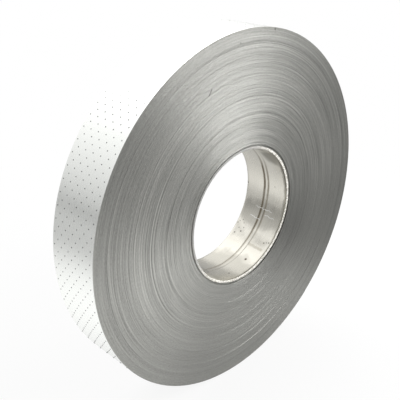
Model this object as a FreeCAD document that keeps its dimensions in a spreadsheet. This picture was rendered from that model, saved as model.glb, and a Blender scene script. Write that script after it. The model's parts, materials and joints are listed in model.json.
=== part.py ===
"""Coil of perforated aluminium strip wound on a thin metal core sleeve, standing on its rim.

The coil axis runs along Y.  The origin is on the floor, under the middle of the coil.
All sizes are in millimetres and live in the spreadsheet "Sizes".
"""

import os

import FreeCAD, Part
import Sketcher
from FreeCAD import Vector

HORIZONTAL, VERTICAL = "Horizontal", "Vertical"
SKETCH_ORIGIN = (-1, 1)

# Driving dimensions: alias, value, what it is.
SIZES = [
    ("coil_radius", 200.0, "outside radius of the wound strip"),
    ("strip_width", 62.0, "width of the strip, and so of the coil"),
    ("turn_pitch", 0.52, "radius gained by each turn of the strip"),
    ("sleeve_bore", 75.0, "inside radius of the core sleeve"),
    ("sleeve_wall", 3.0, "wall of the core sleeve"),
    ("sleeve_gap", 0.3, "radial gap between the sleeve and the first turn"),
    ("sleeve_recess", 0.5, "how far the sleeve ends lie inside the coil faces"),
    ("line_depth", 0.5, "depth of the lines that sunken turns leave in the faces"),
    ("line_turns", 2.0, "how many neighbouring turns make one such line"),
    ("first_line", 9.0, "radial distance from the first turn to the first line"),
    ("line_spacing", 14.0, "radial distance from one line to the next"),
    ("rim_band", 8.0, "least radial distance from the last line to the rim"),
]

# How far each line stands off its even spacing, as a share of the spacing.  It starts again
# from the first when there are more lines.
LINE_SHIFTS = (0.0, 0.16, -0.12, 0.22, 0.04, -0.2, 0.1, -0.06)


def make_sheet(doc):
    """The spreadsheet of driving dimensions, one named cell to a size."""
    sheet = doc.addObject("Spreadsheet::Sheet", "Sizes")
    for row, (alias, value, meaning) in enumerate(SIZES, start=1):
        sheet.set(f"A{row}", meaning)
        sheet.set(f"B{row}", str(value))
        sheet.setAlias(f"B{row}", alias)
    doc.recompute()
    return sheet


def plane(body, role):
    """One of a body's own origin planes, found by its role."""
    return next(f for f in body.Origin.OriginFeatures if f.Role == role)


def new_sketch(body, name):
    """A sketch on the body's YZ plane: sketch X runs along the coil axis, sketch Y is the radius."""
    sketch = body.newObject("Sketcher::SketchObject", name)
    sketch.AttachmentSupport = [(plane(body, "YZ_Plane"), "")]
    sketch.MapMode = "FlatFace"
    return sketch


def add_outline(sketch, corners):
    """Adds a closed outline.

    Each corner is (along, radius, along_rule, radius_rule): a starting place and the two
    spreadsheet rules that hold it there.
    """
    count = len(corners)
    points = [Vector(along, radius, 0) for along, radius, _, _ in corners]
    lines = [
        sketch.addGeometry(Part.LineSegment(points[i], points[(i + 1) % count]), False)
        for i in range(count)
    ]
    for i in range(count):
        sketch.addConstraint(Sketcher.Constraint("Coincident", lines[i], 2, lines[(i + 1) % count], 1))
    for line, (along, radius, along_rule, radius_rule) in zip(lines, corners):
        hold(sketch, "DistanceX", line, along, along_rule)
        hold(sketch, "DistanceY", line, radius, radius_rule)


def hold(sketch, kind, line, value, rule):
    """Ties one coordinate of a line's first point to the sketch origin by a spreadsheet rule."""
    index = sketch.addConstraint(Sketcher.Constraint(kind, *SKETCH_ORIGIN, line, 1, value))
    sketch.setExpression(f"Constraints[{index}]", rule)


def value_of(sheet, rule):
    """What a spreadsheet rule comes to now, as a plain number."""
    names = {alias: float(sheet.get(alias)) for alias, _, _ in SIZES}
    total = 0.0
    for term in rule.split(" + "):
        product = 1.0
        for factor in term.split(" * "):
            sign = -1.0 if factor.startswith("-") else 1.0
            factor = factor.lstrip("-")
            product *= sign * (names[factor[6:]] if factor.startswith("Sizes.") else float(factor))
        total += product
    return total


def corner(sheet, along_rule, radius_rule):
    """One corner of an outline, started at the place that its rules give."""
    return (value_of(sheet, along_rule), value_of(sheet, radius_rule), along_rule, radius_rule)


def revolve(body, kind, name, sketch):
    """Turns a sketch a full turn about the coil axis, as a Revolution or a Groove."""
    feature = body.newObject(f"PartDesign::{kind}", name)
    feature.Profile = sketch
    feature.ReferenceAxis = (sketch, ["H_Axis"])
    feature.Angle = 360.0
    sketch.Visibility = False
    return feature


def stand_up(body):
    """Lifts a body, modelled about its own axis, until the coil stands on the floor."""
    body.setExpression("Placement.Base.z", "Sizes.coil_radius")


# The coil's first turn, written from the sleeve outwards.
FIRST_TURN = "Sizes.sleeve_bore + Sizes.sleeve_wall + Sizes.sleeve_gap"


def make_coil(doc, sheet):
    """The wound strip: a thick turned ring whose faces show lines where turns sit deeper."""
    body = doc.addObject("PartDesign::Body", "StripCoil")
    body.Label = "strip_coil"
    ring = new_sketch(body, "CoilSection")
    ends = [f"{sign}0.5 * Sizes.strip_width" for sign in ("-", "")]
    add_outline(
        ring,
        [
            corner(sheet, ends[0], FIRST_TURN),
            corner(sheet, ends[1], FIRST_TURN),
            corner(sheet, ends[1], "Sizes.coil_radius"),
            corner(sheet, ends[0], "Sizes.coil_radius"),
        ],
    )
    revolve(body, "Revolution", "CoilRing", ring)
    lines = new_sketch(body, "TurnLines")
    for side in ("-", ""):
        add_turn_lines(sheet, lines, side)
    revolve(body, "Groove", "TurnLineGrooves", lines)
    stand_up(body)
    return body


def line_count(sheet):
    """How many sunken lines a face has room for, from the first turn out to the rim."""
    first_turn = value_of(sheet, FIRST_TURN)
    first_line = value_of(sheet, "Sizes.first_line")
    last_place = value_of(sheet, "Sizes.coil_radius + -1 * Sizes.rim_band")
    room = last_place - first_turn - first_line
    return int(room / value_of(sheet, "1 * Sizes.line_spacing")) + 1


def add_turn_lines(sheet, sketch, side):
    """The section of each sunken line on one face: side is "-" for the -Y face and "" for +Y."""
    face = f"{side}0.5 * Sizes.strip_width"
    inward = "" if side == "-" else "-"
    floor = f"{face} + {inward}1 * Sizes.line_depth"
    for number in range(line_count(sheet)):
        steps = number + LINE_SHIFTS[number % len(LINE_SHIFTS)]
        inner = f"{FIRST_TURN} + Sizes.first_line + {steps} * Sizes.line_spacing"
        outer = f"{inner} + Sizes.line_turns * Sizes.turn_pitch"
        add_outline(
            sketch,
            [
                corner(sheet, face, inner),
                corner(sheet, face, outer),
                corner(sheet, floor, outer),
                corner(sheet, floor, inner),
            ],
        )


def make_sleeve(doc, sheet):
    """The core sleeve: a thin plain tube that the first turn is wound on."""
    body = doc.addObject("PartDesign::Body", "CoreSleeve")
    body.Label = "core_sleeve"
    section = new_sketch(body, "SleeveSection")
    ends = [
        "-0.5 * Sizes.strip_width + 1 * Sizes.sleeve_recess",
        "0.5 * Sizes.strip_width + -1 * Sizes.sleeve_recess",
    ]
    bore = "1 * Sizes.sleeve_bore"
    outside = "Sizes.sleeve_bore + Sizes.sleeve_wall"
    add_outline(
        section,
        [
            corner(sheet, ends[0], bore),
            corner(sheet, ends[1], bore),
            corner(sheet, ends[1], outside),
            corner(sheet, ends[0], outside),
        ],
    )
    revolve(body, "Revolution", "SleeveTube", section)
    stand_up(body)
    return body


def check(doc, bodies):
    """Stops the build if any object failed or any piece is not one sound solid."""
    failed = [o.Name for o in doc.Objects if {"Invalid", "Error"} & set(o.State)]
    if failed:
        raise RuntimeError(f"these objects failed: {failed}")
    for body in bodies:
        shape = body.Shape
        if shape.isNull() or not shape.isValid() or len(shape.Solids) != 1:
            raise RuntimeError(f"{body.Label} is not one valid solid")


def main():
    doc = FreeCAD.newDocument("PerforatedStripCoil")
    sheet = make_sheet(doc)
    bodies = [make_coil(doc, sheet), make_sleeve(doc, sheet)]
    doc.recompute()
    check(doc, bodies)
    os.makedirs("parts", exist_ok=True)
    for body in bodies:
        body.Shape.exportStep(f"parts/{body.Label}.step")
        box = body.Shape.BoundBox
        size = f"{box.XLength:.2f} x {box.YLength:.2f} x {box.ZLength:.2f}"
        print(f"{body.Label}: {size} mm, {body.Shape.Volume / 1000:.1f} cm3, lowest z {box.ZMin:.3f}")


main()
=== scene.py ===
"""Looks of the perforated aluminium strip coil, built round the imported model.

Every length is in metres, in the model's own frame: the coil's axis runs along Y, its rim stands
on the floor at Z = 0, and +Z is up.  Angles go round the axis from +X towards +Z.
"""

import json
import math
import random

import bmesh
import bpy
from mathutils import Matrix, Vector, noise


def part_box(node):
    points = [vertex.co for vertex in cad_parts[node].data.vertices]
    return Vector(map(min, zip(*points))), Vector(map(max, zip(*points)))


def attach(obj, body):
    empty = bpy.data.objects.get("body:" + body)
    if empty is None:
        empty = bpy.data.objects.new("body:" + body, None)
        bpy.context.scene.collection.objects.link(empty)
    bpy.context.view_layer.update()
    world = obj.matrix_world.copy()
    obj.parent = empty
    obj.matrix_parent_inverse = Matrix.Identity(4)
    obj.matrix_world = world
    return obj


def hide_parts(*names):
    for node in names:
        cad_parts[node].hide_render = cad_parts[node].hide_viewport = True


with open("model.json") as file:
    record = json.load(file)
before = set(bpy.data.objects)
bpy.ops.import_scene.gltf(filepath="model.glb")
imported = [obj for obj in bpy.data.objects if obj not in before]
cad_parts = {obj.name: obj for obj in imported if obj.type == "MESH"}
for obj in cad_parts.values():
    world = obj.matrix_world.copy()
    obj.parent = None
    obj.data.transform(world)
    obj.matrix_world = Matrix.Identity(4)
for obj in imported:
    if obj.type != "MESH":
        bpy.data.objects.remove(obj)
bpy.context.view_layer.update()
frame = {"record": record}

MM = 0.001
FULL_TURN = 2 * math.pi

# ---------------------------------------------------------------- sizes taken from the model
COIL_LOW, COIL_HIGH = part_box("strip_coil")
SLEEVE_LOW, SLEEVE_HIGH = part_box("core_sleeve")
BORE = next(m for m in frame["record"]["mounts"] if m["name"] == "core_bore")

FRONT_Y = COIL_LOW.y
BACK_Y = COIL_HIGH.y
COIL_RADIUS = COIL_HIGH.z / 2
AXIS_HEIGHT = COIL_RADIUS
SLEEVE_BORE = BORE["dims"]["r_mm"] * MM
SLEEVE_RADIUS = SLEEVE_HIGH.x

# ---------------------------------------------------------------- the strip and how it is wound
TURN_COUNT = 234
STRIP_SHARE = 0.86
START_GAP = 0.1 * MM
# The holes' lips stand out from the outermost turn, and reach the model's outside radius.
LIP_HEIGHT = 0.18 * MM
# The innermost turn starts one pitch further out than the sleeve, because the spiral runs in.
TURN_PITCH = (COIL_RADIUS - LIP_HEIGHT - SLEEVE_RADIUS - START_GAP) / (TURN_COUNT + STRIP_SHARE)
FIRST_TURN = SLEEVE_RADIUS + START_GAP + TURN_PITCH
SKIN_RADIUS = FIRST_TURN + (TURN_COUNT - 1 + STRIP_SHARE) * TURN_PITCH
FREE_END = math.radians(-50.4)
# The innermost turns sit deepest, behind the sleeve's rims.
INNER_TURNS = 3
INNER_DEPTH = 1.5 * MM
# Turns are wound level in bundles of a few; some single turns are loose, and none is quite even.
LEVEL_TURNS = (3, 14)
LEVEL_DEPTH = 0.06 * MM
LOOSE_CHANCE = 0.05
LOOSE_DEPTH = (0.06 * MM, 0.16 * MM)
UNEVEN_DEPTH = 0.06 * MM
WINDING_SEED = 7
# The model's sunken rings, shown shallower here: first distance from the sleeve, spacing, shifts
# in spacings, depth and turns.
FIRST_LINE = 9 * MM
LINE_SPACING = 14 * MM
LINE_SHIFTS = (0.0, 0.16, -0.12, 0.22, 0.04, -0.2, 0.1, -0.06)
LINE_DEPTH = 0.18 * MM
LINE_TURNS = 2

# ---------------------------------------------------------------- the holes in the outermost turn
HOLE_ROWS = 11
HOLE_COLUMNS = 99
HOLE_RADIUS = 0.42 * MM
LIP_WIDTH = 0.14 * MM
HOLE_DEPTH = 1.2 * MM
FIRST_ROW = 4.4 * MM
LAST_ROW = 2.6 * MM
ROW_PITCH = (BACK_Y - FRONT_Y - FIRST_ROW - LAST_ROW) / (HOLE_ROWS - 1)
# Every second cell of a row has a hole, so a turn takes two steps for each hole.
TURN_STEPS = 2 * HOLE_COLUMNS

# ---------------------------------------------------------------- the core sleeve
SLEEVE_STEPS = 160
SLEEVE_STATIONS = 24
RIM_ROUND = 0.5 * MM
RIM_RAGGED = 0.2 * MM
DENT_SIZE = 28 * MM
DENT_DEPTH = 0.35 * MM
CREASES = (
    # distance behind the coil's front, depth
    (34 * MM, 0.35 * MM),
    (28.4 * MM, 0.2 * MM),
)
CREASE_WIDTH = 1.1 * MM

# ---------------------------------------------------------------- how the meshes are made
STRIP_PIECES = 4
WELD = 0.002 * MM
# Edges between faces that meet at less than this are shaded smooth.
STRIP_SMOOTH = math.radians(5)
SLEEVE_SMOOTH = math.radians(50)


# ================================================================ mesh helpers
def turned(radius, y, angle):
    """The point at a radius and an angle round the coil's axis."""
    return Vector((radius * math.cos(angle), y, AXIS_HEIGHT + radius * math.sin(angle)))


def add_chain(bm, points, closed):
    """Vertices joined in a row, in the XY plane: X is the radius and Y runs along the axis."""
    verts = [bm.verts.new((radius, y, 0)) for radius, y in points]
    ends = verts[1:] + (verts[:1] if closed else [])
    return verts + [bm.edges.new(pair) for pair in zip(verts, ends)]


def spin_chain(bm, chain, steps):
    """Spins a chain a full turn about Y and leaves the seam open."""
    bmesh.ops.spin(
        bm, geom=chain, cent=(0, 0, 0), axis=(0, 1, 0), dvec=(0, 0, 0), angle=FULL_TURN,
        steps=steps, use_merge=False, use_normal_flip=False, use_duplicate=False,
    )


def close_seam(bm):
    """Joins the two sides of a seam and caps the cut ends of the strip."""
    bmesh.ops.remove_doubles(bm, verts=bm.verts, dist=WELD)
    rims = [edge for edge in bm.edges if edge.is_boundary]
    if rims:
        bmesh.ops.holes_fill(bm, edges=rims, sides=0)
    bmesh.ops.recalc_face_normals(bm, faces=bm.faces)


def finish_piece(bm, name, materials, node, smooth_angle):
    """Turns a bmesh into a named piece that rides on the coil and stands for a node."""
    for face in bm.faces:
        face.smooth = True
    for edge in bm.edges:
        edge.smooth = edge.is_manifold and edge.calc_face_angle(0.0) < smooth_angle
    mesh = bpy.data.meshes.new(name)
    bm.to_mesh(mesh)
    bm.free()
    for material in materials:
        mesh.materials.append(material)
    piece = bpy.data.objects.new(name, mesh)
    bpy.context.scene.collection.objects.link(piece)
    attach(piece, "root")
    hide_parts(node)


# ================================================================ the wound strip
class Winding:
    """How deep each turn of the strip sits behind the coil's two faces."""

    def __init__(self, seed):
        draw = random.Random(seed)
        self.depths = {side: self.one_face(draw) for side in (-1, 1)}

    @staticmethod
    def one_face(draw):
        """Depth of every turn on one face."""
        depths = []
        level = 0.0
        turns_left = 0
        for _ in range(TURN_COUNT + 1):
            if turns_left == 0:
                turns_left = draw.randint(*LEVEL_TURNS)
                level = draw.uniform(0.0, LEVEL_DEPTH)
            turns_left -= 1
            loose = draw.uniform(*LOOSE_DEPTH) if draw.random() < LOOSE_CHANCE else 0.0
            depths.append(level + loose + draw.uniform(0.0, UNEVEN_DEPTH))
        depths[-1] = depths[-2] = 0.0
        depths[:INNER_TURNS] = [INNER_DEPTH] * INNER_TURNS
        for number, shift in enumerate(LINE_SHIFTS):
            turn = round((FIRST_LINE + (number + shift) * LINE_SPACING) / TURN_PITCH)
            depths[turn:turn + LINE_TURNS] = [LINE_DEPTH] * LINE_TURNS
        return depths

    def edge_y(self, side, turn, share):
        """Where a turn's edge lies along the axis: over one turn it runs into the turn below."""
        upper = self.depths[side][turn + 1]
        lower = self.depths[side][turn]
        depth = upper + (lower - upper) * share
        return FRONT_Y + depth if side < 0 else BACK_Y - depth


def place_on_spiral(radius, y, share):
    """The point a share of one turn along the spiral, which runs inwards by a pitch each turn."""
    return turned(radius - TURN_PITCH * share, y, FREE_END - FULL_TURN * share)


def bundle_section(first, last):
    """Corners of the turns' edges, round a bundle's section: (radius, side, turn)."""
    front = []
    for turn in range(first, last):
        inner = FIRST_TURN + turn * TURN_PITCH
        front += [(inner, -1, turn), (inner + STRIP_SHARE * TURN_PITCH, -1, turn)]
    back = [(radius, 1, turn) for radius, _, turn in front]
    return front[::-1] + back


def spin_bundle(bm, first, last, winding, closed):
    """Spins a bundle's section, then sets every copy of it in its place on the spiral."""
    section = bundle_section(first, last)
    chain = add_chain(bm, [(radius, side) for radius, side, _ in section], closed)
    spin_chain(bm, chain, TURN_STEPS)
    bm.verts.ensure_lookup_table()
    for index, vert in enumerate(bm.verts):
        step, corner = divmod(index, len(section))
        radius, side, turn = section[corner]
        share = step / TURN_STEPS
        vert.co = place_on_spiral(radius, winding.edge_y(side, turn, share), share)


def punch_holes(bm, cells):
    """Punches a round hole with a raised, torn lip in the middle of each flat cell."""
    lip_radius = HOLE_RADIUS + LIP_WIDTH
    margin = ROW_PITCH / 2 - lip_radius
    bmesh.ops.inset_individual(bm, faces=cells, thickness=margin, use_even_offset=True)
    for face in cells:
        for edge in list(face.edges):
            bmesh.utils.edge_split(edge, edge.verts[0], 0.5)
        middle = face.calc_center_bounds()
        for vert in face.verts:
            vert.co = middle + (vert.co - middle).normalized() * lip_radius
    half_lip = LIP_WIDTH / 2
    for inset, rise in ((half_lip, LIP_HEIGHT), (half_lip, 0), (half_lip / 4, -HOLE_DEPTH)):
        bmesh.ops.inset_individual(
            bm, faces=cells, thickness=inset, depth=rise, use_even_offset=True)


def add_skin(bm, winding):
    """The outermost turn, with its staggered rows of holes, rolled up from a flat sheet."""
    skin = bmesh.new()
    bmesh.ops.create_grid(skin, x_segments=TURN_STEPS, y_segments=HOLE_ROWS + 1, size=0.5)
    first_line = FRONT_Y + FIRST_ROW - ROW_PITCH / 2
    lines = [FRONT_Y] + [first_line + row * ROW_PITCH for row in range(HOLE_ROWS)] + [BACK_Y]
    length = FULL_TURN * SKIN_RADIUS
    for vert in skin.verts:
        line = round((vert.co.y + 0.5) * (HOLE_ROWS + 1))
        vert.co = Vector(((vert.co.x + 0.5) * length, lines[line], 0))
    cells = []
    for face in skin.faces:
        middle = face.calc_center_bounds()
        column = int(middle.x / length * TURN_STEPS)
        row = round((middle.y - FRONT_Y - FIRST_ROW) / ROW_PITCH)
        if middle.y > first_line and (row + column) % 2 == 0:
            cells.append(face)
    punch_holes(skin, cells)
    bottoms = set(cells)
    # The holes' bottoms and raised lips take the hole's painted shade.
    for face in skin.faces:
        torn = max(abs(vert.co.z) for vert in face.verts) > LIP_HEIGHT / 2
        face.material_index = 2 if face in bottoms or torn else 1
    for vert in skin.verts:
        share = vert.co.x / length
        y = vert.co.y
        if y == lines[0] or y == lines[-1]:
            y = winding.edge_y(-1 if y < 0 else 1, TURN_COUNT - 1, share)
        vert.co = place_on_spiral(SKIN_RADIUS + vert.co.z, y, share)
    flat = bpy.data.meshes.new("skin")
    skin.to_mesh(flat)
    skin.free()
    bm.from_mesh(flat)
    bpy.data.meshes.remove(flat)


def build_strip(winding, edge_finish, skin_finish, hole_painted_shade_finish):
    """The whole coil, in bundles of turns from the sleeve outwards."""
    for number in range(STRIP_PIECES):
        first = number * TURN_COUNT // STRIP_PIECES
        last = (number + 1) * TURN_COUNT // STRIP_PIECES
        outermost = number == STRIP_PIECES - 1
        bm = bmesh.new()
        spin_bundle(bm, first, last, winding, closed=not outermost)
        if outermost:
            add_skin(bm, winding)
        close_seam(bm)
        finishes = (edge_finish, skin_finish, hole_painted_shade_finish) if outermost else (edge_finish,)
        name = f"strip_turns_{number + 1}"
        finish_piece(bm, name, finishes, "strip_coil", STRIP_SMOOTH)


# ================================================================ the core sleeve
def crease_depth(y):
    """How far the bore's wall is pressed out at a distance along the axis."""
    depth = 0.0
    for place, deep in CREASES:
        depth += deep * math.exp(-(((y - FRONT_Y - place) / (CREASE_WIDTH / 2)) ** 2))
    return depth


def sleeve_section():
    """The sleeve's section: bore wall with its creases, two rounded rims and a plain outside."""
    low, high = SLEEVE_LOW.y + RIM_RAGGED, SLEEVE_HIGH.y - RIM_RAGGED
    stations = {low + RIM_ROUND + (high - low - 2 * RIM_ROUND) * i / SLEEVE_STATIONS
                for i in range(SLEEVE_STATIONS + 1)}
    for place, _ in CREASES:
        for part in (-1, -0.5, 0, 0.5, 1):
            stations.add(FRONT_Y + place + part * CREASE_WIDTH)
    bore = [(SLEEVE_BORE, y) for y in sorted(stations)]
    outside = [
        (SLEEVE_BORE + RIM_ROUND, high), (SLEEVE_RADIUS - RIM_ROUND, high),
        (SLEEVE_RADIUS, high - RIM_ROUND), (SLEEVE_RADIUS, low + RIM_ROUND),
        (SLEEVE_RADIUS - RIM_ROUND, low), (SLEEVE_BORE + RIM_ROUND, low),
    ]
    return bore + outside


def build_sleeve(finish):
    """The thin metal ring in the bore, a little dented and ragged at its rims."""
    bm = bmesh.new()
    section = sleeve_section()
    spin_chain(bm, add_chain(bm, section, closed=True), SLEEVE_STEPS)
    bm.verts.ensure_lookup_table()
    for index, vert in enumerate(bm.verts):
        step, corner = divmod(index, len(section))
        radius, y = section[corner]
        angle = -FULL_TURN * step / SLEEVE_STEPS
        spot = turned(radius, y, angle)
        if radius == SLEEVE_BORE:
            radius += crease_depth(y) + DENT_DEPTH * abs(noise.noise(spot / DENT_SIZE))
        if abs(y) > SLEEVE_HIGH.y - RIM_RAGGED - RIM_ROUND / 2:
            y += RIM_RAGGED * noise.noise(spot / (2 * MM))
        vert.co = turned(radius, y, angle)
    close_seam(bm)
    finish_piece(bm, "sleeve_ring", (finish,), "core_sleeve", SLEEVE_SMOOTH)


# ================================================================ shader helpers
class Number:
    """A shader value: arithmetic on it adds Math nodes."""

    def __init__(self, finish, socket):
        self.finish = finish
        self.socket = socket

    def maths(self, operation, *others):
        return self.finish.maths(operation, self, *others)

    def __add__(self, other):
        return self.maths("ADD", other)

    def __sub__(self, other):
        return self.maths("SUBTRACT", other)

    def __rsub__(self, other):
        return self.finish.maths("SUBTRACT", other, self)

    def __mul__(self, other):
        return self.maths("MULTIPLY", other)

    def __truediv__(self, other):
        return self.maths("DIVIDE", other)

    def __pow__(self, other):
        return self.maths("POWER", other)

    def __neg__(self):
        return self.maths("MULTIPLY", -1)

    __radd__ = __add__
    __rmul__ = __mul__


class Finish:
    """A material under construction."""

    def __init__(self, name, owner=None):
        self.owner = owner or bpy.data.materials.new(name)
        self.owner.use_nodes = True
        self.tree = self.owner.node_tree
        self.tree.nodes.clear()

    def node(self, kind, settings=None, inputs=None, output=0):
        """Adds a node: first its settings, then its sockets' values or links."""
        node = self.tree.nodes.new(kind)
        for name, value in (settings or {}).items():
            setattr(node, name, value)
        for name, value in (inputs or {}).items():
            if isinstance(value, Number):
                self.tree.links.new(value.socket, node.inputs[name])
            else:
                node.inputs[name].default_value = value
        return Number(self, node.outputs[output]) if node.outputs else node

    def maths(self, operation, *values):
        return self.node("ShaderNodeMath", {"operation": operation}, dict(enumerate(values)))

    def vector(self, operation, *values):
        output = 1 if operation in ("DOT_PRODUCT", "LENGTH", "DISTANCE") else 0
        settings = {"operation": operation}
        return self.node("ShaderNodeVectorMath", settings, dict(enumerate(values)), output)

    def scaled(self, vector, factor):
        inputs = {"Vector": vector, "Scale": factor}
        return self.node("ShaderNodeVectorMath", {"operation": "SCALE"}, inputs)

    def combined(self, x, y, z):
        return self.node("ShaderNodeCombineXYZ", None, {"X": x, "Y": y, "Z": z})

    def blend(self, factor, first, second):
        """Mixes two colours."""
        inputs = {0: factor, 6: first, 7: second}
        return self.node("ShaderNodeMix", {"data_type": "RGBA"}, inputs, 2)

    def noise(self, vector, scale=1.0, detail=2.0, roughness=0.5):
        inputs = {"Vector": vector, "Scale": scale, "Detail": detail, "Roughness": roughness}
        return self.node("ShaderNodeTexNoise", None, inputs)

    def line_noise(self, place, detail=2.0, roughness=0.5):
        inputs = {"W": place, "Scale": 1.0, "Detail": detail, "Roughness": roughness}
        return self.node("ShaderNodeTexNoise", {"noise_dimensions": "1D"}, inputs)

    def chance(self, place):
        """A value from 0 to 1 that is the same all over one whole number."""
        return self.node("ShaderNodeTexWhiteNoise", {"noise_dimensions": "1D"}, {"W": place})

    def ramp(self, value, low, high):
        """0 below low, 1 above high, and smooth between."""
        inputs = {"Value": value, "From Min": low, "From Max": high}
        settings = {"interpolation_type": "SMOOTHSTEP"}
        return self.node("ShaderNodeMapRange", settings, inputs)

    def place(self):
        """Object coordinates: the spot, its x and y, and its rise above the coil's axis."""
        spot = self.node("ShaderNodeTexCoord", output=3)
        split = self.tree.nodes.new("ShaderNodeSeparateXYZ")
        self.tree.links.new(spot.socket, split.inputs[0])
        x, y, z = (Number(self, socket) for socket in split.outputs)
        return spot, x, y, z - AXIS_HEIGHT

    def round_axis(self, x, rise):
        """The distance from the coil's axis, the angle round it, and the way out from it."""
        radius = (x * x + rise * rise) ** 0.5
        return radius, self.maths("ARCTAN2", rise, x), self.combined(x / radius, 0, rise / radius)

    def turn_share(self, angle):
        """The share of a turn from the strip's free end to an angle."""
        return self.maths("FRACT", (FREE_END - angle) / FULL_TURN + 1)

    def towards(self, outward, side):
        """How squarely the way out points to a side in degrees: 1 when it does, -1 when away."""
        angle = math.radians(side)
        return self.vector("DOT_PRODUCT", outward, (math.cos(angle), 0, math.sin(angle)))

    def bump(self, height, distance, strength=1.0):
        inputs = {"Height": height, "Distance": distance, "Strength": strength}
        return self.node("ShaderNodeBump", None, inputs)

    def metal(self, colour, roughness, normal=None, **fixed):
        """Ends the material in a metal surface."""
        inputs = {"Base Color": colour, "Roughness": roughness, "Metallic": 1.0}
        inputs.update({name.replace("_", " "): value for name, value in fixed.items()})
        if normal is not None:
            inputs["Normal"] = normal
        surface = self.node("ShaderNodeBsdfPrincipled", None, inputs)
        self.node("ShaderNodeOutputMaterial", None, {"Surface": surface})
        return self.owner


def grey(value, warmth=0.0):
    """A near-neutral colour: warmth above 0 leans to yellow."""
    return (value * (1 + 0.3 * warmth), value, value * (1 - warmth), 1)


# ================================================================ finish of the strip's edges
EDGE_TONE = 0.445
LIGHT_RINGS = (0.2, 0.15)  # share of the rings that are light, and how much lighter they are
DARK_RINGS = (0.2, 0.12)
TURNS_IN_RING = 1.7
STREAK_TONE = 0.38
GRAIN_TONE = 0.2
SLOW_TONE = 0.02
RIM_SHADE = 0.1
GAP_SHADE = 0.5
MARK_SHADE = 0.6
EDGE_ROUGH = 0.4
BURR_SLOPE = 0.45
GRAIN_SLOPE = 0.04
# Painted sheen: the rings' contrast is raised on two sides of the faces, where the turned edges
# would glint.
PAINTED_SHEEN_LEAST = 0.42
PAINTED_SHEEN_SIDES = (
    # the rings stand out most at these angles, over this much to each side, as a painted sheen
    (45, 75),
    (182, 45),
)
# Painted light and shade: wide soft patches on both faces, lighter or darker than the rest.
FACE_PAINTED_LIGHT_AND_SHADE = (
    # angle round the axis, radius, size, how much brighter as painted light (or darker as painted
    # shade, below 0)
    (103, 210 * MM, 75 * MM, -0.27),
    (325, 85 * MM, 55 * MM, -0.32),
    (318, 165 * MM, 45 * MM, -0.12),
    (247, 170 * MM, 60 * MM, -0.16),
    (143, 125 * MM, 60 * MM, 0.20),
    (14, 170 * MM, 55 * MM, 0.17),
    (52, 145 * MM, 55 * MM, 0.14),
    (294, 210 * MM, 40 * MM, 0.15),
)
FACE_MARKS = (
    # angle round the axis, radius, lean from the radius outwards, length, width
    (110, 156.5 * MM, -55, 9 * MM, 2 * MM),
    (79, 198 * MM, 0, 3 * MM, 2.6 * MM),
    (94, 187.5 * MM, 30, 2.5 * MM, 2 * MM),
)


def offset(x, rise, angle, radius):
    """How far a point of the face is, across and up, from a place given by angle and radius."""
    angle = math.radians(angle)
    return x - radius * math.cos(angle), rise - radius * math.sin(angle)


def painted_face_light_and_shade(f, x, rise):
    """Painted light and shade: wide soft patches of the coil's faces that are brighter or darker
    than the rest.
    """
    change = 0
    for angle, radius, size, strength in FACE_PAINTED_LIGHT_AND_SHADE:
        across, up = offset(x, rise, angle, radius)
        away = (across * across + up * up) / size ** 2
        change = f.maths("EXPONENT", -away) * strength + change
    return change


def face_marks(f, x, rise):
    """Knocks and specks on the coil's faces, 1 at their middle."""
    marks = 0
    for angle, radius, lean, length, width in FACE_MARKS:
        across, up = offset(x, rise, angle, radius)
        run, climb = math.cos(math.radians(angle + lean)), math.sin(math.radians(angle + lean))
        lengthwise = f.maths("ABSOLUTE", across * run + up * climb)
        crosswise = f.maths("ABSOLUTE", up * run - across * climb)
        inside = 1 - f.ramp(lengthwise, length * 0.3, length * 0.5)
        marks = inside * (1 - f.ramp(crosswise, width * 0.15, width * 0.5)) + marks
    return marks


def painted_sheen(f, outward):
    """How strongly the rings stand out round the coil's faces, from the least level above to 1: a
    painted sheen on two sides.
    """
    sheen_contrast = 0
    for side, spread in PAINTED_SHEEN_SIDES:
        near = f.ramp(f.towards(outward, side), math.cos(math.radians(spread)), 1.0)
        sheen_contrast = f.maths("MAXIMUM", near, sheen_contrast)
    return PAINTED_SHEEN_LEAST + sheen_contrast * (1 - PAINTED_SHEEN_LEAST)


def arcs(f, outward, rings, along, across, roughness):
    """Noise drawn out into arcs along the rings: larger steps along and across give finer arcs."""
    spot = f.vector("ADD", f.scaled(outward, along), f.combined(0, rings * across, 0))
    return f.noise(spot, 1.0, detail=2, roughness=roughness)


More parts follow.
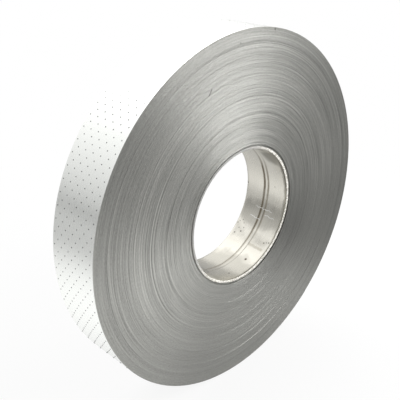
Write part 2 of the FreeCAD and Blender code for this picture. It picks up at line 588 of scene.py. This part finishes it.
def strip_edge_finish():
    """Cut edges of the strip: rounded burrs, in rings that are lighter or darker than the rest;
    how much the rings stand out by side is painted sheen, and wide patches are painted light and
    shade.
    """
    f = Finish("strip_edge")
    _, x, _, rise = f.place()
    radius, angle, outward = f.round_axis(x, rise)
    rings = (radius - FIRST_TURN) / TURN_PITCH
    across = f.maths("FRACT", rings + f.turn_share(angle)) / STRIP_SHARE
    gap = f.ramp(across, 0.97, 1.06)

    # Painted sheen: the rings stand out more on two sides of the face.
    sheen_contrast = painted_sheen(f, outward)
    fade = f.ramp(arcs(f, outward, rings, 2.4, 0.4, 0.5), 0.34, 0.62)
    calm = f.ramp(f.line_noise(rings * 0.035, detail=1), 0.36, 0.62)
    ring = f.chance(f.maths("FLOOR", rings / TURNS_IN_RING))
    light = f.maths("GREATER_THAN", ring, 1 - LIGHT_RINGS[0]) * (0.25 + fade * 0.75)
    dark = f.maths("LESS_THAN", ring, DARK_RINGS[0]) * (1.0 - fade * 0.5)
    lines = (light * LIGHT_RINGS[1] - dark * DARK_RINGS[1]) * (1 - calm * 0.5)
    streak = arcs(f, outward, rings, 2.6, 0.45, 0.6) - 0.5
    grain = f.noise(f.combined(angle * 60, rings * 0.4, 0), 1.0, detail=1) - 0.5
    slow = f.line_noise(rings * 0.09, detail=2) - 0.5

    tone = EDGE_TONE + (lines + streak * STREAK_TONE) * sheen_contrast
    tone = tone + grain * GRAIN_TONE + slow * SLOW_TONE
    tone = tone * (1 - f.ramp(radius, 0.7 * COIL_RADIUS, COIL_RADIUS) * RIM_SHADE)
    # Wide patches of painted light and shade, and painted shade in the gaps between turns.
    tone = tone * (1 - gap * GAP_SHADE) * (1 + painted_face_light_and_shade(f, x, rise))
    tone = tone * (1 - face_marks(f, x, rise) * MARK_SHADE)
    colour = f.combined(tone * 0.998, tone, tone * 0.942)
    slope = (across * 2 - 1) * BURR_SLOPE + grain * GRAIN_SLOPE
    face = f.node("ShaderNodeNewGeometry", output=1)
    normal = f.vector("NORMALIZE", f.vector("ADD", face, f.scaled(outward, slope)))
    return f.metal(colour, EDGE_ROUGH + grain * 0.2, normal)


# ================================================================ finish of the outermost turn
SKIN_TONE = 0.86
SKIN_ROUGH = 0.27
# Painted shade: the holes and their lips are dark for the shade inside them; the lips near the
# coil's top get a painted highlight.
HOLE_PAINTED_SHADE = 0.03
LIP_PAINTED_HIGHLIGHT = 0.8


def strip_skin_finish():
    """Rolled face of the strip: bright satin, with faint lines along the rolling direction."""
    f = Finish("strip_skin")
    spot, x, y, rise = f.place()
    _, angle, _ = f.round_axis(x, rise)
    lines = f.noise(f.combined(angle * 0.8, y * 900, 0), 1.0, detail=3)
    cloud = f.noise(spot, 14, detail=3)
    wave = f.noise(spot, 9, detail=1)
    tone = SKIN_TONE + (lines - 0.5) * 0.06 + (cloud - 0.5) * 0.04
    colour = f.combined(tone * 0.985, tone, tone * 0.97)
    rough = SKIN_ROUGH + (lines - 0.5) * 0.12 + (cloud - 0.5) * 0.08
    return f.metal(colour, rough, f.bump(lines * 0.03 + wave, 0.5 * MM, 0.5))


def hole_painted_shade_finish():
    """A punched hole: painted shade, dark inside and on its torn lip, with a painted highlight on
    the lip at the coil's top.
    """
    f = Finish("hole_painted_shade")
    spot, x, _, rise = f.place()
    radius, angle, _ = f.round_axis(x, rise)
    level = radius + f.turn_share(angle) * TURN_PITCH - SKIN_RADIUS
    lip = f.ramp(level, -0.02 * MM, 0.02 * MM)
    # Painted highlight on the lips near the coil's top.
    painted_lip_highlight = f.ramp(rise, 0.7 * COIL_RADIUS, 0.95 * COIL_RADIUS) * lip
    tone = HOLE_PAINTED_SHADE + f.noise(spot, 900) * 0.03 + painted_lip_highlight * LIP_PAINTED_HIGHLIGHT
    return f.metal(f.combined(tone, tone, tone), 0.6)


# ================================================================ finish of the sleeve
CLEAN_DARK = grey(0.72, 0.11)
CLEAN_LIGHT = grey(0.84, 0.08)
# The colour of the painted shade in the bore.
BORE_PAINTED_SHADE = grey(0.24, 0.12)
STAIN_BROWN = (0.20, 0.17, 0.125, 1)
STREAK_BROWN = (0.20, 0.18, 0.14, 1)
DIRT_BROWN = (0.05, 0.04, 0.03, 1)
SCRATCH_WHITE = grey(0.95, 0.02)
TORN_DARK = (0.50, 0.48, 0.42, 1)
TORN_LIGHT = (0.95, 0.93, 0.87, 1)
WHOLE_RIM = grey(0.36, 0.04)
# The rims are torn to bare metal on this side, and whole on the other.
BARE_SIDE = -40
# The creases are stained most round this angle.
STAINED_SIDE = -8
SCRATCH_WIDTH = 1 * MM
STREAK_WIDTH = 5 * MM
SOFT_EDGE = 0.45
# Painted shade: darker patches on the bore's wall.
PAINTED_SHADE_PATCHES = (
    # angle round the axis, depth behind the coil's front, spread round, spread along, strength
    (-93, 31 * MM, 40, 90 * MM, 0.88),
    (-66, 31 * MM, 30, 90 * MM, 0.62),
    (-26, 31 * MM, 18, 60 * MM, 0.50),
    (8, 31 * MM, 32, 90 * MM, 0.22),
    (42, 11 * MM, 17, 18 * MM, 0.80),
    (64, 18 * MM, 17, 18 * MM, 0.58),
    (22, 1 * MM, 80, 6.5 * MM, 0.80),
    (60, 52 * MM, 22, 14 * MM, 0.18),
)
STAINS = (
    # depth behind the coil's front, strength away from the worst of it and at its worst, width
    (CREASES[0][0], 0.32, 0.95, 2.6 * MM),
    (CREASES[1][0], 0.06, 0.65, 2.2 * MM),
)
SPECKS = (
    # angle round the axis, depth behind the coil's front, size
    (-0.5, 60.0 * MM, 2.2 * MM),
    (4.4, 18.5 * MM, 1.6 * MM),
    (-36.2, 53.5 * MM, 1.5 * MM),
    (-38.4, 57.0 * MM, 1.3 * MM),
    (-38.9, 50.2 * MM, 1.4 * MM),
    (-40.5, 59.0 * MM, 2.0 * MM),
    (-47.2, 48.7 * MM, 2.5 * MM),
    (-43.0, 47.4 * MM, 1.6 * MM),
    (-44.6, 53.8 * MM, 1.7 * MM),
    (-50.4, 55.7 * MM, 2.0 * MM),
    (-48.8, 10.8 * MM, 2.1 * MM),
    (-47.6, 7.6 * MM, 1.5 * MM),
    (-46.9, 4.8 * MM, 2.0 * MM),
    (-70.6, 17.1 * MM, 3.8 * MM),
    (-95.3, 13.9 * MM, 2.6 * MM),
)
SCRATCHES = (
    # angle round the axis, depths where it starts and ends, change of angle on the way
    (-19.9, 16.9 * MM, 43.4 * MM, 0.6),
    (-25.2, 11.1 * MM, 27.1 * MM, 0.8),
    (-29.8, 30.6 * MM, 47.7 * MM, 1.8),
)
STREAKS = (
    (-55.6, 6.0 * MM, 29.9 * MM, 1.1),
)


def patches(f, angle, depth, list_of_patches):
    """Soft-edged patches on the bore's wall, as one value that is the most of their strengths."""
    total = 0
    for place, deep, around, lengthwise, strength in list_of_patches:
        round_off = (angle - math.radians(place)) / math.radians(around)
        along_off = (depth - deep) / lengthwise
        away = (round_off * round_off + along_off * along_off) ** 0.5
        total = f.maths("MAXIMUM", (1 - f.ramp(away, SOFT_EDGE, 1.0)) * strength, total)
    return total


def lengthwise_lines(f, angle, depth, list_of_lines, width):
    """Lines on the bore's wall that run along the axis, 1 at their middle."""
    total = 0
    for place, start, end, turn in list_of_lines:
        slant = (depth - (start + end) / 2) * (math.radians(turn) / (end - start))
        off = f.maths("ABSOLUTE", angle - math.radians(place) - slant) * SLEEVE_BORE
        line = 1 - f.ramp(off, width * 0.2, width * 0.5)
        reach = f.ramp(depth, start, start + 2 * MM) * (1 - f.ramp(depth, end - 2 * MM, end))
        total = line * reach + total
    return total


def crease_stains(f, angle, depth):
    """Brown stains along the creases: wavy lines, strongest round one side of the bore."""
    wobble = f.line_noise(angle * 3, detail=2) * 1.6 * MM - 0.8 * MM
    worst = 1 - f.ramp(f.maths("ABSOLUTE", angle - math.radians(STAINED_SIDE)), 0.35, 0.95)
    stain = 0
    for place, least, most, width in STAINS:
        off = f.maths("ABSOLUTE", depth - place + wobble)
        line = 1 - f.ramp(off, 0.15 * width, width)
        stain = line * (least + worst * (most - least)) + stain
    return stain


def sleeve_finish():
    """Sleeve: bright sheet with darker patches of painted shade, stained creases, specks,
    scratches, rough rims.
    """
    f = Finish("sleeve_sheet")
    spot, x, y, rise = f.place()
    _, angle, outward = f.round_axis(x, rise)
    depth = y - FRONT_Y
    patch = f.noise(spot, 22, detail=3)
    scuff = f.noise(f.combined(angle * 2, y * 500, 0), 1.0, detail=2)
    blotch = f.noise(spot, 60, detail=3)
    ragged = f.noise(spot, 500, detail=3)

    warp = (blotch - 0.5) * 0.35
    # Patches of painted shade darken the bore.
    painted_shade = patches(f, angle + warp, depth + warp * 20 * MM, PAINTED_SHADE_PATCHES)
    stain = crease_stains(f, angle, depth) * (0.4 + blotch * 1.1)
    dots = [(place, deep, math.degrees(size / 2 / SLEEVE_BORE), size / 2, 1)
            for place, deep, size in SPECKS]
    dirt = patches(f, angle, depth, dots)
    jagged = (f.line_noise(depth * 250, detail=2) - 0.5) * 0.06
    scratch = lengthwise_lines(f, angle + jagged, depth, SCRATCHES, SCRATCH_WIDTH)
    streak = lengthwise_lines(f, angle + jagged * 0.5, depth, STREAKS, STREAK_WIDTH)
    cut = f.ramp(f.maths("ABSOLUTE", y), SLEEVE_HIGH.y - 1.0 * MM, SLEEVE_HIGH.y - 0.7 * MM)
    bare = f.ramp(f.towards(outward, BARE_SIDE), -0.8, 0.15)

    colour = f.blend(patch, CLEAN_DARK, CLEAN_LIGHT)
    colour = f.blend(painted_shade, colour, BORE_PAINTED_SHADE)
    colour = f.blend(stain, colour, STAIN_BROWN)
    colour = f.blend(streak * (0.3 + blotch) * 0.55, colour, STREAK_BROWN)
    colour = f.blend(dirt, colour, DIRT_BROWN)
    colour = f.blend(scratch, colour, SCRATCH_WHITE)
    torn = f.blend(f.ramp(ragged, 0.36, 0.58), TORN_DARK, TORN_LIGHT)
    colour = f.blend(cut, colour, f.blend(bare, WHOLE_RIM, torn))
    rough = 0.2 + patch * 0.16 + stain * 0.25 + (scuff - 0.5) * 0.08 + cut * 0.35
    relief = patch + scuff * 0.04 + cut * ragged * 0.6
    metallic = 1 - cut * 0.8 - scratch * 0.5
    return f.metal(colour, rough, f.bump(relief, 1.2 * MM, 0.6), Metallic=metallic)


# ================================================================ the studio
CAMERA_AZIMUTH = -49.25
CAMERA_ELEVATION = 26.38
CAMERA_DISTANCE = 3.404 * COIL_RADIUS
CAMERA_LENS = 56.4
AIM_ACROSS = -0.337 * COIL_RADIUS
AIM_UP = 0.208 * COIL_RADIUS

SOFTBOXES = (
    # name, azimuth, elevation, distance, size, power
    ("front_softbox", 36, 27, 1.6, 1.1, 25),
    ("back_softbox", 160, 44, 1.8, 1.8, 11),
)

FLOOR_RADIUS = 12.0
# Only part of the shadow is kept, and none of it beyond the second of these distances.
FLOOR_WHITE = 0.85
SHADOW_REACH = (0.25, 0.75)
FLOOR_DARK = 0.28
FLOOR_POOLS = (
    # middle, how much brighter, spread
    ((-0.02, -0.31, 0), 2.2, 0.12),
    ((0.2, -0.13, 0), 0.7, 0.09),
    ((-0.3, 0.15, 0), 0.75, 0.35),
    ((-1.5, 1.2, 0), 0.45, 1.6),
)

# What the metal mirrors of the room: a bright wall whose middle is at this azimuth and elevation.
WALL_MIDDLE = (165, 45)
WALL_LEVEL = 1.45
SIDE_LEVEL = 0.16
ROOM_LEVEL = 0.1


def direction(azimuth, elevation):
    """Unit vector from angles in degrees: azimuth 0 looks out along -Y, and 90 along +X."""
    azimuth, elevation = math.radians(azimuth), math.radians(elevation)
    across = math.cos(elevation)
    return Vector((math.sin(azimuth) * across, -math.cos(azimuth) * across, math.sin(elevation)))


def add_camera():
    """The camera stands to the left of the near face, above the coil."""
    face = Vector((0, FRONT_Y, AXIS_HEIGHT))
    back = direction(CAMERA_AZIMUTH, CAMERA_ELEVATION)
    data = bpy.data.cameras.new("camera")
    data.lens = CAMERA_LENS
    data.sensor_width = 36
    data.clip_end = 50
    camera = bpy.data.objects.new("camera", data)
    bpy.context.scene.collection.objects.link(camera)
    camera.location = face + back * CAMERA_DISTANCE
    aim = face + Vector((AIM_ACROSS, 0, AIM_UP))
    camera.rotation_euler = (aim - camera.location).to_track_quat("-Z", "Y").to_euler()
    bpy.context.scene.camera = camera


def add_softbox(name, azimuth, elevation, distance, size, power):
    """A square soft light that faces the coil."""
    data = bpy.data.lights.new(name, "AREA")
    data.shape = "SQUARE"
    data.size = size
    data.energy = power
    light = bpy.data.objects.new(name, data)
    bpy.context.scene.collection.objects.link(light)
    target = Vector((0, 0, AXIS_HEIGHT))
    towards = direction(azimuth, elevation)
    light.location = target + towards * distance
    light.rotation_euler = (-towards).to_track_quat("-Z", "Y").to_euler()


def floor_finish():
    """Pale paper that keeps the coil's soft shadow; the metal mirrors pools of light on it."""
    f = Finish("floor_paper")
    spot, *_ = f.place()
    seen = f.node("ShaderNodeLightPath", output=0)
    mirrored = f.node("ShaderNodeLightPath", output=3)
    clear = f.ramp(f.vector("LENGTH", spot), *SHADOW_REACH)
    share = seen * (FLOOR_WHITE + clear * (1 - FLOOR_WHITE))
    level = FLOOR_DARK
    for middle, rise, spread in FLOOR_POOLS:
        away = f.vector("DISTANCE", spot, middle) / spread
        level = level + rise * f.maths("EXPONENT", -(away * away))
    paper = f.node("ShaderNodeBsdfDiffuse", None, {"Color": grey(0.8)})
    white = f.node("ShaderNodeEmission", None, {"Color": grey(1.0), "Strength": 1.0})
    pools = f.node("ShaderNodeEmission", None, {"Color": f.combined(level, level, level)})
    shown = f.node("ShaderNodeMixShader", None, {0: share, 1: paper, 2: white})
    surface = f.node("ShaderNodeMixShader", None, {0: mirrored, 1: shown, 2: pools})
    f.node("ShaderNodeOutputMaterial", None, {"Surface": surface})
    return f.owner


def add_floor():
    """The floor that the coil stands on."""
    bm = bmesh.new()
    bmesh.ops.create_circle(bm, cap_ends=True, segments=96, radius=FLOOR_RADIUS)
    mesh = bpy.data.meshes.new("floor")
    bm.to_mesh(mesh)
    bm.free()
    mesh.materials.append(floor_finish())
    floor = bpy.data.objects.new("floor", mesh)
    bpy.context.scene.collection.objects.link(floor)


def add_world():
    """White to the eye; in the metal, a bright wall behind the coil and a dim room before it."""
    world = bpy.data.worlds.new("studio")
    bpy.context.scene.world = world
    f = Finish("studio", world)
    look = f.node("ShaderNodeTexCoord", output=0)
    towards = f.vector("DOT_PRODUCT", look, tuple(direction(*WALL_MIDDLE)))
    level = f.maths("MAXIMUM", SIDE_LEVEL + towards * (WALL_LEVEL - SIDE_LEVEL), ROOM_LEVEL)
    seen = f.node("ShaderNodeLightPath", output=0)
    colour = f.blend(seen, f.combined(level, level, level), grey(1.0))
    backdrop = f.node("ShaderNodeBackground", None, {"Color": colour, "Strength": 1.0})
    f.node("ShaderNodeOutputWorld", None, {"Surface": backdrop})


# ================================================================ everything together
def main():
    build_strip(Winding(WINDING_SEED), strip_edge_finish(), strip_skin_finish(), hole_painted_shade_finish())
    build_sleeve(sleeve_finish())
    add_floor()
    add_world()
    for softbox in SOFTBOXES:
        add_softbox(*softbox)
    add_camera()
    bpy.context.scene.view_settings.view_transform = "Standard"


main()
